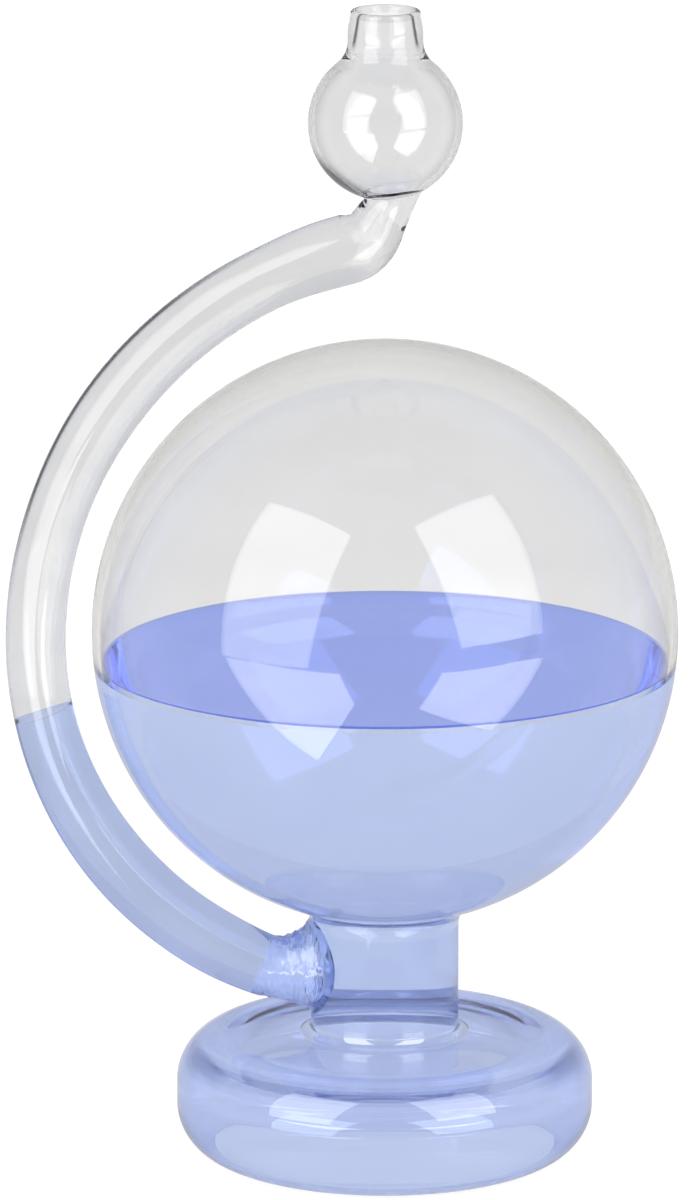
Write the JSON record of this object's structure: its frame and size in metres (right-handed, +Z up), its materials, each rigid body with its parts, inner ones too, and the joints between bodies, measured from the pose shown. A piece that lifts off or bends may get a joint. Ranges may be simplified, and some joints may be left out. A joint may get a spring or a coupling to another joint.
{
  "type": "weather glass",
  "caption": "Hand-blown glass water barometer: a globe on a hollow foot, half full of blue water, with an open curved side arm that ends in an overflow bulb.",
  "frame": {"origin": "centre of the foot's flat underside, on the surface that it stands on", "axes": "+Z up along the axis of foot, stem and globe; the arm lies in the XZ plane on the -X side, and +Y points away from the viewer of the picture"},
  "size_m": [0.1439, 0.1254, 0.25],
  "materials": {
    "clear_glass": "clear blown glass, fire polished",
    "seal_glass": "clear glass, flame sealed and slightly rippled",
    "blue_water": "clear coloured water",
    "water_level": "surface of the coloured water"
  },
  "bodies": {
    "vessel": {"foot": "clear_glass", "foot_weld": "seal_glass", "stem": "clear_glass", "globe_weld": "seal_glass", "globe": "clear_glass", "spout_tube": "clear_glass", "spout_weld": "seal_glass", "bulb_weld": "seal_glass", "overflow_bulb": "clear_glass", "mouth_neck": "clear_glass", "reservoir_liquid": "blue_water", "spout_liquid": "blue_water"},
    "level": {"spout_meniscus": "water_level"}
  },
  "joints": [
    {"name": "spout_level", "type": "hinge", "parent": "vessel", "child": "level", "pos_m": [0.00637, 0, 0.11443], "axis": [0, 1, 0], "range_deg": [-36, 54], "stiffness_Nm_per_rad": 0.0057, "deforming": ["spout_liquid"]}
  ]
}
